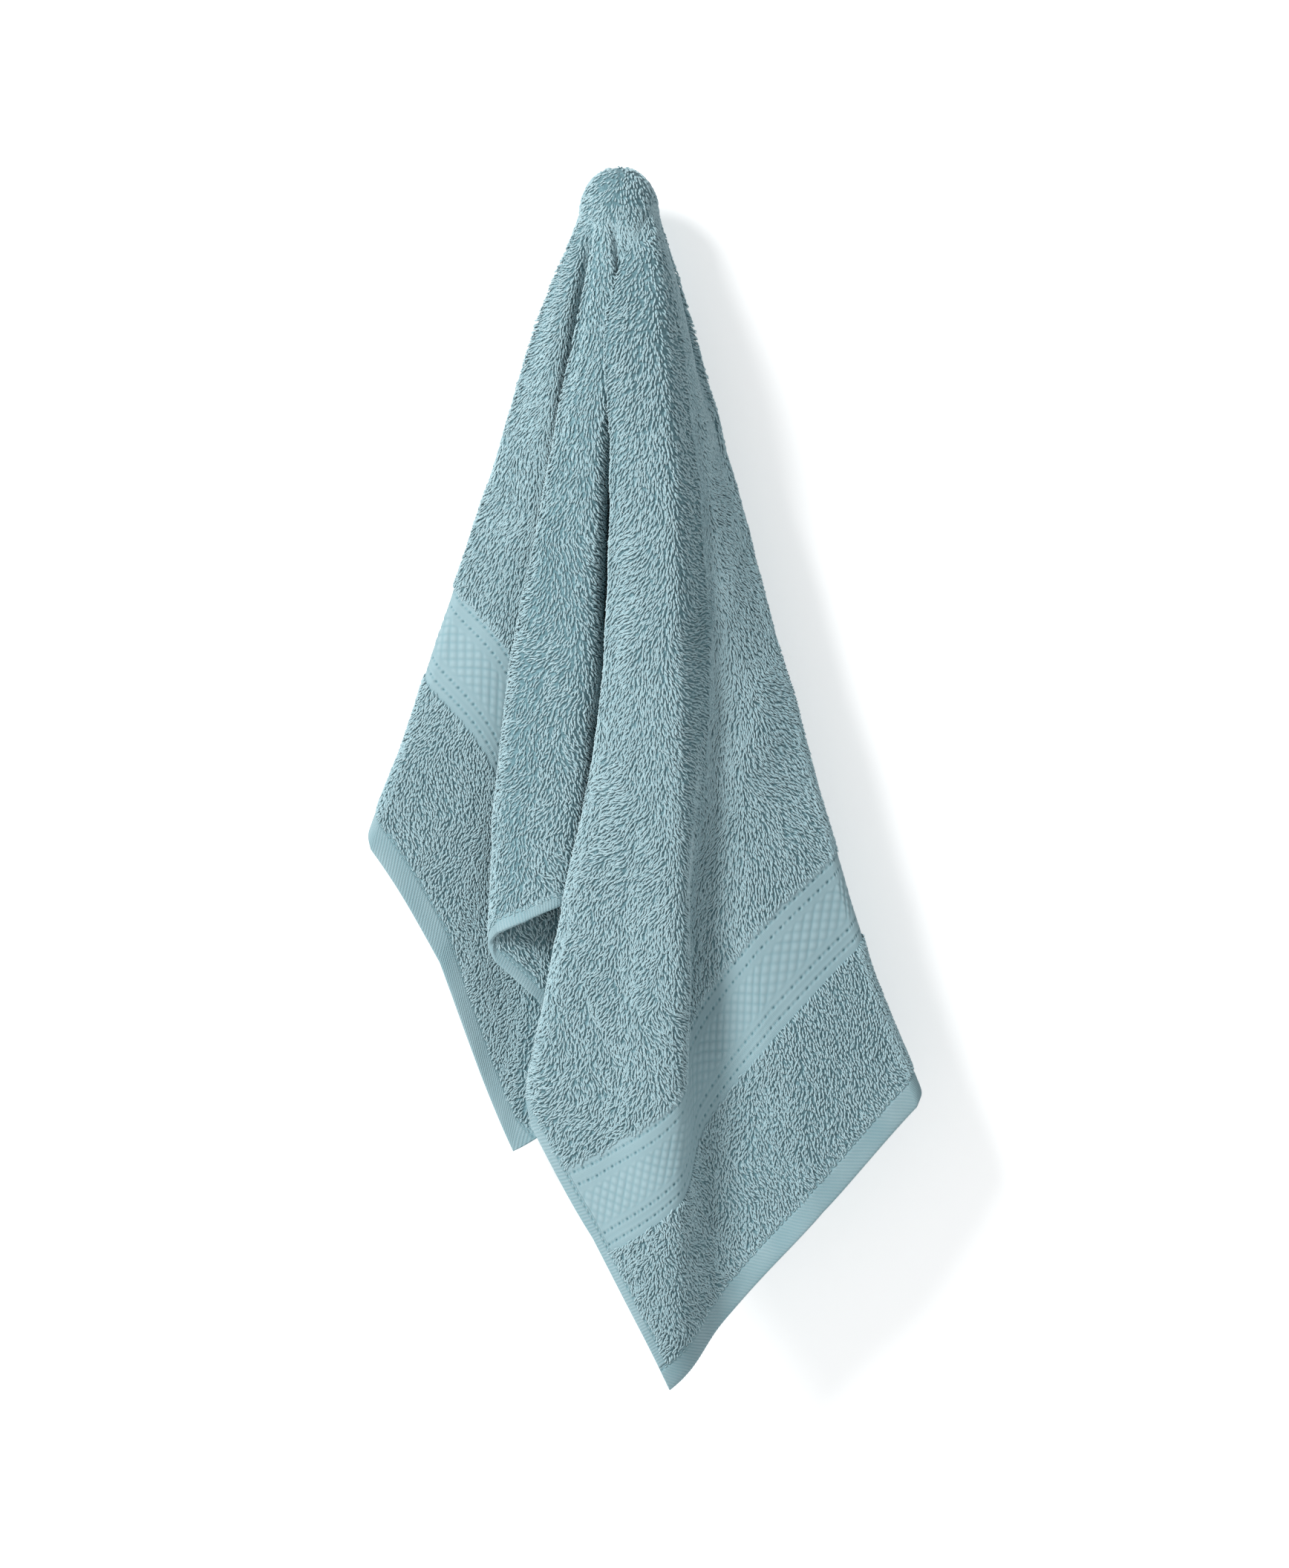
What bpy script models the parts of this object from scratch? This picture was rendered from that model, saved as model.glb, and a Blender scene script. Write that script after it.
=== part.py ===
"""Hand towel hanging in soft folds from a wall hook, built zone by zone.

Metres, +Z up, -Y to the room, +Y to the wall, +X right.  The origin is the
point on the hook that carries the towel.  The cloth is one woven rectangle; a
flat position is given as (a, b): a towards the near long edge and b towards
the long-tailed end, both measured from the point the hook holds.  Every zone
of the weave is its own closed body, laid on the same folded surface.
"""
import math
import bpy
import bmesh
import numpy as np
from mathutils import Vector
from mathutils.geometry import delaunay_2d_cdt

# ---- driving dimensions, metres --------------------------------------------
WIDTH = 0.500            # towel, across
LENGTH = 0.900           # towel, along
HOOK_TO_NEAR = 0.368     # hook point to the near long edge
HOOK_TO_LONG_END = 0.528 # hook point to the long-tailed end
END_HEM = 0.014          # width of the rolled and sewn end hems
SIDE_HEM = 0.008         # width of the sewn side hems
BAND = 0.048             # width of the flat dobby band
BAND_FROM_END = 0.077    # band's outer edge to the towel's end
PILE_T = 0.0028          # thickness of a pile zone
BAND_T = 0.0016          # thickness of a flat woven band
HEM_T = 0.0020           # thickness of a sewn hem
SEAM_W = 0.0009          # hem stitching, width
SEAM_T = 0.0005          # hem stitching, thickness
SEAM_IN = 0.0014         # hem stitching, inwards from the hem's inner edge
GAP = 0.00072             # clearance between touching zones
STEP = 0.036             # longest mesh edge along the cloth
GATHER_R = 0.036         # the part within this distance of the hook stays on it
EASE = 1.030             # cloth drawn out by its own weight
BEND = 0.0023            # half the depth of a hidden turn
ROLL = 0.0040            # half the depth of a turn that shows

FAR = WIDTH - HOOK_TO_NEAR
SHORT = LENGTH - HOOK_TO_LONG_END

RING = 20.0              # radius of the cloth just below the hook, mm
RING_AT = 24.0           # height of that ring below the hook, mm
# Heights below the hook at which each fold line's place is given, mm.
X_AT = (70, 157, 283, 413, 550, 690)
Y_AT = (70, 157, 413)
# Fold lines running down from the hook: name, angle on the flat cloth in
# degrees, share of length kept, turn (0 none, 1 hidden, 2 shown), x and y in
# mm at the heights above.
FOLDS = (
    ("back", -180, 1.0, 0, (0, 0, 0, 0, 0, 0), (23, 26, 26)),
    ("back_left", -140, 1.0, 1, (-27, -44, -58, -70, -80, -90), (20, 23, 23)),
    ("short_corner", -109.5, 1.0, 1, (-24, -30, -30, -32, -34, -36), (16, 19, 21)),
    ("left_tuck", -94, 1.0, 1, (-34, -56, -91, -126, -160, -192), (12, 15, 17.5)),
    ("left_under", -79, 1.0, 1, (-19, -24, -34, -50, -64, -78), (8, 10, 14)),
    ("left_edge", -63.8, 0.909, 2, (-38, -65, -106, -155, -200, -246), (2, 4, -2)),
    ("left_panel", -55, 0.964, 0, (-28, -42, -61, -93, -132, -170), (-11, -9, 1)),
    ("left_corner", -45.3, 1.0, 0, (-19, -31, -39, -46, -59, -72), (-6, -3, 8)),
    ("inner_turn", -40, 1.0, 1, (-12, -11, -9, -8, -10, -12), (-8, -4, -4)),
    ("roll_under", -34.2, 1.0, 0, (-14, -22, -28, -33, -42, -50), (-13, -13, -15)),
    ("roll_left", -27.4, 1.0, 2, (-18, -35, -58, -69, -80, -90), (-21, -20, -23)),
    ("roll_crest", -23.5, 1.0, 0, (-11, -23, -39, -51, -60, -68), (-30, -29, -36)),
    ("roll_right", -19.7, 1.0, 0, (-4, -10, -17, -31, -41, -50), (-32, -32, -34)),
    ("crease", -14.5, 1.0, 0, (-3, -5, -9, -18, -24, -30), (-16, -13, -13)),
    ("pleat_1", -4, 1.0, 1, (2, 8, 20, 34, 48, 62), (-13, -12, -12)),
    ("pleat_2", 8, 1.0, 1, (-2, -1, -4, -8, -10, -12), (-19, -18, -19)),
    ("pleat_3", 22, 1.0, 1, (5, 12, 23, 38, 54, 70), (-22, -24, -26)),
    ("flap_in", 37, 1.0, 0, (0, 1, -2, -18, -30, -38), (-27, -31, -33)),
    ("flap_left", 44, 0.957, 2, (-3, -3, -8, -32, -58, -74), (-33, -38, -40)),
    ("flap_swell", 50, 0.985, 0, (6, 11, 11, 2, -13, -16), (-36, -45, -50)),
    ("flap_ridge", 55.1, 1.0, 0, (20, 28, 32, 31, 28, 26), (-34, -44, -53)),
    ("flap_valley", 58.8, 0.99, 0, (28, 39, 46, 36, 49, 68), (-22, -25, -31)),
    ("right_panel", 65, 0.9635, 0, (31, 46, 63, 72, 107, 142), (-15, -21, -32)),
    ("right_edge", 72.6, 0.931, 2, (33.5, 56.5, 91.5, 129, 181, 226), (-3, -8, -15)),
    ("right_under", 84, 1.0, 1, (17, 22, 36, 53, 73, 90), (6, 4, 2)),
    ("right_tuck", 94, 1.0, 1, (29, 44, 66, 88, 112, 136), (12, 11, 9)),
    ("long_corner", 104, 1.0, 1, (22, 26, 30, 40, 54, 66), (16, 17, 16)),
    ("back_right", 140, 1.0, 1, (27, 44, 58, 70, 80, 90), (20, 23, 23)),
)

# How far from the hook a fold line's band and hem edges hang, as pairs of the
# distance along the flat cloth and the straight distance once folded, mm.
REACH = {
    "left_edge": ((275.3, 235.5), (328.8, 287.5), (414.6, 376.5)),
    "left_panel": ((301.5, 263), (360.1, 323), (454.1, 431)),
    "left_corner": ((347.5, 334), (415, 406), (523.3, 523.7)),
    "inner_turn": ((384, 376), (480, 478)),
    "flap_left": ((300, 286), (511.6, 490)),
    "flap_swell": ((300, 296), (526.1, 518), (572.5, 563.7)),
    "flap_ridge": ((300, 298), (491.4, 490.8), (549.9, 549.9), (643.6, 643.6)),
    "flap_valley": ((300, 284), (471.1, 450.5), (527.2, 511), (617.3, 609.5)),
    "right_panel": ((300, 270), (444.7, 408.8), (497.6, 466.5), (582.6, 561.3)),
    "right_edge": ((300, 262), (422.3, 375.5), (472.6, 426.5), (553.3, 514)),
}


def hermite(t, p, s):
    """Smooth curve through p at t, read at s."""
    t, p = np.asarray(t, float), np.asarray(p, float)
    m = np.gradient(p, t)
    i = np.clip(np.searchsorted(t, s, side="right") - 1, 0, len(t) - 2)
    h = t[i + 1] - t[i]
    u = (s - t[i]) / h
    return ((2*u**3 - 3*u**2 + 1)*p[i] + (u**3 - 2*u**2 + u)*h*m[i]
            + (3*u**2 - 2*u**3)*p[i + 1] + (u**3 - u**2)*h*m[i + 1])


RADII = np.linspace(0.0, 760.0, 381)


def fold_line(ang, kept, xs, ys, lift=0.0, back=0.0, reach=None):
    """One fold line from the hook down, by length along the cloth (mm)."""
    z = np.linspace(RING_AT, 690, 334)
    ax, ay = math.sin(math.radians(ang)), -math.cos(math.radians(ang))
    x = hermite((RING_AT,) + X_AT, (RING*ax,) + tuple(xs), z)
    y = hermite((RING_AT,) + Y_AT + (700,), (RING*ay,) + tuple(ys) + (ys[-1],), z)
    t = np.clip((z - RING_AT)/75, 0, 1)
    x, y = x - back*t*t*(3 - 2*t), y + lift*t*t*(3 - 2*t)
    th = np.linspace(0, math.pi/2, 25)[:-1]
    top = np.stack([x[0]*np.sin(th), y[0]*np.sin(th), -RING_AT*(1 - np.cos(th))], 1)
    pts = np.concatenate([top, np.stack([x, y, -z], 1)])
    s = np.r_[0, np.cumsum(np.linalg.norm(np.diff(pts, axis=0), axis=1))]
    t = np.clip((RADII - 30)/330, 0, 1)
    rr = RADII*(1 + (EASE - 1 - (1 - kept))*t*t*(3 - 2*t))
    if reach:
        far = np.maximum.accumulate(np.hypot(pts[:, 0], pts[:, 2]) + 1e-6*s)
        r0, d0 = 60.0, np.interp(60.0, s, far)
        r, d = np.array([(r0, d0)] + list(reach) + [(reach[-1][0] + 100, reach[-1][1] + 100)]).T
        want = np.where(RADII < r0, np.interp(RADII, s, far), hermite(r, d, RADII))
        rr = np.interp(want, far, s)
    return np.stack([np.interp(rr, s, pts[:, j]) for j in range(3)], 1)


ANGLES, LINES = [], []
for k, (name, ang, kept, turn, xs, ys) in enumerate(FOLDS):
    if turn:
        # a turn is a half-round bend: its two sides and its outermost line
        half = (BEND if turn == 1 else ROLL)*1000
        side = half if ang < 50 else -half
        beside = FOLDS[k - 1][4][1] + FOLDS[(k + 1) % len(FOLDS)][4][1]
        out = half if 2*xs[1] > beside else -half
        da = 1.6 if turn == 1 else 1.9
        ANGLES += [ang - da, ang, ang + da]
        at = REACH.get(name)
        LINES += [fold_line(ang - da, kept, xs, ys, side, out, at),
                  fold_line(ang, kept, xs, ys, 0.0, 0.0, at),
                  fold_line(ang + da, kept, xs, ys, -side, out, at)]
    else:
        ANGLES.append(ang)
        LINES.append(fold_line(ang, kept, xs, ys, 0.0, 0.0, REACH.get(name)))
ANGLES.append(180.0)
LINES.append(LINES[0])
ANGLES, LINES = np.array(ANGLES, float), np.array(LINES)


def drape(a, b):
    """Flat position (m) to its place on the folded towel (m)."""
    a, b = np.asarray(a, float)*1000, np.asarray(b, float)*1000
    phi = np.degrees(np.arctan2(b, a))
    r = np.hypot(a, b)
    n = len(ANGLES) - 1
    i = np.clip(np.searchsorted(ANGLES, phi, side="right") - 1, 0, n - 1)
    jr = np.clip(r/2.0, 0, len(RADII) - 1.001)
    j = jr.astype(int)
    f = (jr - j)[..., None]
    im, ip = np.where(i < 1, n - 1, i - 1), np.where(i + 2 > n, 1, i + 2)
    at = lambda k: LINES[k, j]*(1 - f) + LINES[k, j + 1]*f
    p0, p1, pm, pp = at(i), at(i + 1), at(im), at(ip)
    h = (ANGLES[i + 1] - ANGLES[i])[..., None]
    t = (phi[..., None] - ANGLES[i][..., None])/h
    size = lambda v: np.maximum(np.linalg.norm(v, axis=-1, keepdims=True), 1e-9)
    chord = size(p1 - p0)
    m0, m1 = (p1 - pm)/size(p1 - pm)*chord, (pp - p0)/size(pp - p0)*chord
    q = ((2*t**3 - 3*t**2 + 1)*p0 + (t**3 - 2*t**2 + t)*m0
         + (3*t**2 - 2*t**3)*p1 + (t**3 - t**2)*m1)
    return q*0.001 + np.array([0, 0, PILE_T/2])


def outward(a, b):
    """Unit normal of the folded surface, on the room side of the hook."""
    e = 0.0008
    a, b = np.asarray(a, float), np.asarray(b, float)
    n = np.cross(drape(a + e, b) - drape(a - e, b), drape(a, b + e) - drape(a, b - e))
    n[np.hypot(a, b) < 0.004] = (0, 0, 1)
    return n/np.maximum(np.linalg.norm(n, axis=1, keepdims=True), 1e-12)


def gather_radius(phi):
    """Cloth length from the hook at which a fold line leaves the gather."""
    r = np.linspace(0.012, 0.09, 400)
    p = drape(r*math.cos(phi), r*math.sin(phi))
    return float(r[np.argmax(np.hypot(p[:, 0], p[:, 2] - PILE_T/2) > GATHER_R)])


MAIN_RAYS = sorted({round(float(x), 4) for x in ANGLES[:-1]}
                   | {round(float(u + v)/2, 4) for u, v in zip(ANGLES[:-1], ANGLES[1:])
                      if v - u > 6})
RAYS = MAIN_RAYS + [ang + d for _, ang, _, turn, _, _ in FOLDS if turn
                    for d in (-1.2, -0.8, -0.4, 0.4, 0.8, 1.2)]
RAYS = sorted(RAYS)
RINGS = [0.045, 0.060, 0.078, 0.098, 0.120, 0.145, 0.172] + [0.2 + STEP*k for k in range(16)]

A0, A1 = -FAR, HOOK_TO_NEAR
B0, B1 = -SHORT, HOOK_TO_LONG_END
H0, H1 = A0 + SIDE_HEM, A1 - SIDE_HEM
A_CUTS = (A0, H0, H1, A1)
B_CUTS = (B0, B0 + END_HEM, B0 + BAND_FROM_END, B0 + BAND_FROM_END + BAND,
          B1 - BAND_FROM_END - BAND, B1 - BAND_FROM_END, B1 - END_HEM, B1)


def line_points(axis, at):
    """Places along a straight line on the flat cloth where every zone that
    touches it has a vertex.  axis 0: the line a = at; axis 1: b = at."""
    marks = sorted(B_CUTS if axis == 0 else A_CUTS)
    hits = []
    for ph in RAYS:
        c, s = math.cos(math.radians(ph)), math.sin(math.radians(ph))
        d, e = (c, s) if axis == 0 else (s, c)
        if abs(d) < 1e-6 or at/d <= 0:
            continue
        v = e*at/d
        if marks[0] < v < marks[-1] and min(abs(v - m) for m in marks) > 0.0012:
            hits.append(v)
    ts = sorted(hits + marks)
    out = []
    for u, v in zip(ts[:-1], ts[1:]):
        out.append(u)
        n = int((v - u)/STEP)
        out += [u + (v - u)*k/(n + 1) for k in range(1, n + 1)]
    return out + [ts[-1]]


def rect_loop(a0, a1, b0, b1):
    """Rectangle outline using the shared points of its four lines."""
    def part(axis, at, lo, hi):
        return [v for v in line_points(axis, at) if lo - 1e-7 <= v < hi - 1e-7]
    out = [(v, b0) for v in part(1, b0, a0, a1)]
    out += [(a1, v) for v in part(0, a1, b0, b1)]
    out += [(v, b1) for v in ([a1] + part(1, b1, a0, a1)[:0:-1])]
    out += [(a0, v) for v in ([b1] + part(0, a0, b0, b1)[:0:-1])]
    return out


def fill(outer, hole, inner, rows=()):
    """Triangles over a flat outline with an optional hole, inner points and
    inner rows of points whose line is kept."""
    pts = list(outer) + list(hole) + list(inner)
    no, nh = len(outer), len(hole)
    edges = [(k, (k + 1) % no) for k in range(no)]
    edges += [(no + k, no + (k + 1) % nh) for k in range(nh)]
    for row in rows:
        edges += [(len(pts) + k, len(pts) + k + 1) for k in range(len(row) - 1)]
        pts += row
    co, _, faces = delaunay_2d_cdt([Vector(p) for p in pts], edges, [], 1 if not nh else 0,
                                   1e-7)[:3]
    co = np.array([tuple(c) for c in co])
    tri = []
    amin, bmin = np.min(outer, 0)
    amax, bmax = np.max(outer, 0)
    hp = np.array(hole) if nh else None
    for f in faces:
        c = co[list(f)].mean(0)
        if not (amin < c[0] < amax and bmin < c[1] < bmax):
            continue
        if nh:
            ang = np.arctan2(hp[:, 1], hp[:, 0])
            o = np.argsort(ang)
            rh = np.interp(math.atan2(c[1], c[0]), ang[o], np.hypot(hp[:, 0], hp[:, 1])[o])
            inside = math.hypot(*c) < rh
            if inside:
                continue
        for k in range(1, len(f) - 1):
            tri.append((f[0], f[k], f[k + 1]))
    return co, tri


def solid(name, co, tri, thick, lift, colour, rough, inset=None):
    """Closed body: the flat triangles laid on the folds and given thickness.
    inset is each vertex's small move on the flat cloth, taken along the local
    tangents so that the faces of two neighbours stay parallel."""
    p, n = drape(co[:, 0], co[:, 1]), outward(co[:, 0], co[:, 1])
    if inset is not None:
        e = 0.0004
        ta = drape(co[:, 0] + e, co[:, 1]) - drape(co[:, 0] - e, co[:, 1])
        tb = drape(co[:, 0], co[:, 1] + e) - drape(co[:, 0], co[:, 1] - e)
        move = inset[:, :1]*ta + inset[:, 1:]*tb
        ln = np.linalg.norm(move, axis=1, keepdims=True)
        size = np.linalg.norm(inset, axis=1, keepdims=True)
        p = p + move/np.maximum(ln, 1e-12)*size
    # the cloth is squeezed where it bunches at the hook
    th = thick*np.clip(0.4 + (np.hypot(co[:, 0], co[:, 1]) - 0.03)/0.14, 0.4, 1.0)[:, None]
    top, bot = p + n*(lift + th/2), p + n*(lift - th/2)
    used = sorted({i for t in tri for i in t})
    idx = {v: k for k, v in enumerate(used)}
    m = len(used)
    verts = [tuple(top[v]) for v in used] + [tuple(bot[v]) for v in used]
    area = sum((co[t[1]][0]-co[t[0]][0])*(co[t[2]][1]-co[t[0]][1])
               - (co[t[1]][1]-co[t[0]][1])*(co[t[2]][0]-co[t[0]][0]) for t in tri)
    faces, count = [], {}
    for t in tri:
        t = [idx[v] for v in (t if area > 0 else t[::-1])]
        faces.append((t[0], t[1], t[2]))
        faces.append((t[2] + m, t[1] + m, t[0] + m))
        for k in range(3):
            e = (t[k], t[(k + 1) % 3])
            count[e] = count.get(e, 0) + 1
    for (u, v) in list(count):
        if (v, u) not in count:
            if tuple(co[used[u]]) < tuple(co[used[v]]):
                faces += [(v, u, u + m), (v, u + m, v + m)]
            else:
                faces += [(v, u, v + m), (u, u + m, v + m)]
    me = bpy.data.meshes.new(name)
    me.from_pydata(verts, [], faces)
    bm = bmesh.new()
    bm.from_mesh(me)
    bmesh.ops.recalc_face_normals(bm, faces=bm.faces)
    if bm.calc_volume(signed=True) < 0:
        bmesh.ops.reverse_faces(bm, faces=bm.faces)
    bm.to_mesh(me)
    bm.free()
    ob = bpy.data.objects.new(name, me)
    bpy.context.scene.collection.objects.link(ob)
    mat = bpy.data.materials.new(name)
    mat.use_nodes = True
    bsdf = next(x for x in mat.node_tree.nodes if x.type == "BSDF_PRINCIPLED")
    bsdf.inputs["Base Color"].default_value = (*colour, 1)
    bsdf.inputs["Roughness"].default_value = rough
    me.materials.append(mat)
    return ob


def zone(name, a0, a1, b0, b1, thick, colour, rough=0.9, cut=False, lift=0.0, gap=GAP/2,
         rows=()):
    """A rectangular zone of the weave."""
    outer = rect_loop(a0, a1, b0, b1)
    hole, inner = [], []
    if cut:
        for ph in MAIN_RAYS:
            r = gather_radius(math.radians(ph))
            hole.append((r*math.cos(math.radians(ph)), r*math.sin(math.radians(ph))))
    if min(a1 - a0, b1 - b0) > 0.02:
        for k, ph in enumerate(MAIN_RAYS):
            c, s = math.cos(math.radians(ph)), math.sin(math.radians(ph))
            start = 0.0 if not cut else math.hypot(*hole[k]) + 0.006
            for r in RINGS:
                q = (r*c, r*s)
                near = min(q[0] - a0, a1 - q[0], q[1] - b0, b1 - q[1])
                if near > 0.004 and r > start:
                    inner.append(q)
    co, tri = fill(outer, hole, inner, rows)
    inset = np.zeros((len(co), 2))
    for j, (lo, hi) in enumerate(((a0, a1), (b0, b1))):
        inset[np.abs(co[:, j] - lo) < 1e-6, j] = gap
        inset[np.abs(co[:, j] - hi) < 1e-6, j] = -gap
    if cut:
        key = {(round(x, 6), round(y, 6)) for x, y in hole}
        for k, (x, y) in enumerate(co):
            if (round(x, 6), round(y, 6)) in key:
                inset[k] = np.array([x, y])/math.hypot(x, y)*gap
    return solid(name, co, tri, thick, lift, colour, rough, inset)


def gather(name, thick, colour):
    """The cap of cloth that sits on the hook."""
    outer, inner = [], [(0.0, 0.0)]
    for k, ph in enumerate(MAIN_RAYS):
        c, s = math.cos(math.radians(ph)), math.sin(math.radians(ph))
        r = gather_radius(math.radians(ph))
        outer.append((r*c, r*s))
        for j, fr in enumerate((0.25, 0.45, 0.62, 0.80)):
            if k % (4, 2, 2, 1)[j] == 0:
                inner.append((r*fr*c, r*fr*s))
    pts = [Vector(p) for p in outer + inner]
    no = len(outer)
    co, _, faces = delaunay_2d_cdt(pts, [(k, (k + 1) % no) for k in range(no)], [], 1, 1e-7)[:3]
    tri = [(f[0], f[k], f[k + 1]) for f in faces for k in range(1, len(f) - 1)]
    co = np.array([tuple(c) for c in co])
    inset = np.zeros((len(co), 2))
    inset[:no] = -co[:no]/np.linalg.norm(co[:no], axis=1, keepdims=True)*GAP/2
    return solid(name, co, tri, thick, 0.0, colour, 0.92, inset)


for ob in list(bpy.data.objects):
    bpy.data.objects.remove(ob, do_unlink=True)

PILE = (0.335, 0.470, 0.505)
FLAT = (0.380, 0.520, 0.553)
HEM = (0.365, 0.505, 0.540)
THREAD = (0.420, 0.560, 0.590)

for end, sgn, edge in (("long_end", 1, B1), ("short_end", -1, B0)):
    def span(d0, d1):
        return sorted((edge - sgn*d0, edge - sgn*d1))
    s0, s1 = span(END_HEM - SEAM_IN - SEAM_W, END_HEM - SEAM_IN)
    zone(end + "_hem", A0, A1, *span(0, END_HEM), HEM_T, HEM,
         rows=[[(v, s) for v in line_points(1, s)[1:-1]] for s in (s0, s1)])
    zone(end + "_pile", H0, H1, *span(END_HEM, BAND_FROM_END), PILE_T, PILE)
    zone(end + "_band", H0, H1, *span(BAND_FROM_END, BAND_FROM_END + BAND), BAND_T, FLAT, 0.75)
    zone(end + "_stitching", H0, H1, s0, s1, SEAM_T, THREAD, 0.6,
         lift=(HEM_T + SEAM_T)/2 + GAP, gap=0.0)
F0, F1 = B0 + BAND_FROM_END + BAND, B1 - BAND_FROM_END - BAND
zone("main_pile", H0, H1, F0, F1, PILE_T, PILE, cut=True)
gather("hook_gather", PILE_T, PILE)
for side, s0, s1, lo, hi in (("near_side", H1 + SEAM_IN, H1 + SEAM_IN + SEAM_W, H1, A1),
                             ("far_side", H0 - SEAM_IN - SEAM_W, H0 - SEAM_IN, A0, H0)):
    zone(side + "_hem", lo, hi, B0 + END_HEM, B1 - END_HEM, HEM_T, HEM,
         rows=[[(s, v) for v in line_points(0, s) if B0 + END_HEM + 1e-6 < v < B1 - END_HEM - 1e-6]
               for s in (s0, s1)])
    zone(side + "_stitching", s0, s1, B0 + BAND_FROM_END, B1 - BAND_FROM_END, SEAM_T, THREAD,
         0.6, lift=(HEM_T + SEAM_T)/2 + GAP, gap=0.0)

sway = bpy.data.objects.new("sway_axis", None)
sway.location = (0, 0, 0)
bpy.context.scene.collection.objects.link(sway)
for ob in bpy.data.objects:
    if ob.type == "MESH" and ob.name != "hook_gather":
        ob.parent = sway
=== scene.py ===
"""Looks of the hand towel: woven ground, terry loops, dobby bands, hems and
stitching, all laid on the folded surface that the CAD zones lie on."""
import math
import bpy
import numpy as np
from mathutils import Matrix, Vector


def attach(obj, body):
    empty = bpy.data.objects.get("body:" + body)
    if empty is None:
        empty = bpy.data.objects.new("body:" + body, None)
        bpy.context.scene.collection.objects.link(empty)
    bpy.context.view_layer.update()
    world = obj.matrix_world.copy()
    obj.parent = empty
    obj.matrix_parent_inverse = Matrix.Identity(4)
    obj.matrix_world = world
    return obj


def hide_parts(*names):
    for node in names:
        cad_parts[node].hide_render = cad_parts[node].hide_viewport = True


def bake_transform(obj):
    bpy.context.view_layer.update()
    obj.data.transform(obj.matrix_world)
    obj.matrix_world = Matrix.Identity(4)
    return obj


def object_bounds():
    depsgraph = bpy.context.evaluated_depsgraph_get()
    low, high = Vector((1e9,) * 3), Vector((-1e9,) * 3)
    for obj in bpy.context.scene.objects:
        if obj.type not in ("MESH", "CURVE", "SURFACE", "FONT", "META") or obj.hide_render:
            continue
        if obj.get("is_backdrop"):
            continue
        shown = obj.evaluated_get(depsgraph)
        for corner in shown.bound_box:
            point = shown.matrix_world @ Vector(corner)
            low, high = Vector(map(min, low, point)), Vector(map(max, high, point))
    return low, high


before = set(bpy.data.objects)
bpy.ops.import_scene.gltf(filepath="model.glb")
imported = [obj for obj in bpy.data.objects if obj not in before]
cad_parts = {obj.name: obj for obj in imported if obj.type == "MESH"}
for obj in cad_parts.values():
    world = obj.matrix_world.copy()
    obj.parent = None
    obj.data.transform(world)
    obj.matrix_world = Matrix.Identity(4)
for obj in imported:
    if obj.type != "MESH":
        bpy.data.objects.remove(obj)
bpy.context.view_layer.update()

# ---- the folded surface, as in the CAD source, metres ------------------------
WIDTH, LENGTH = 0.500, 0.900
HOOK_TO_NEAR, HOOK_TO_LONG_END = 0.368, 0.528
END_HEM, SIDE_HEM, BAND, BAND_FROM_END = 0.014, 0.008, 0.048, 0.077
PILE_T, BAND_T, HEM_T = 0.0028, 0.0016, 0.0020
EASE, BEND, ROLL = 1.030, 0.0023, 0.0040
RING = 20.0              # radius of the cloth just below the hook, mm
RING_AT = 24.0           # height of that ring below the hook, mm
# Heights below the hook at which each fold line's place is given, mm.
X_AT = (70, 157, 283, 413, 550, 690)
Y_AT = (70, 157, 413)
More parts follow.
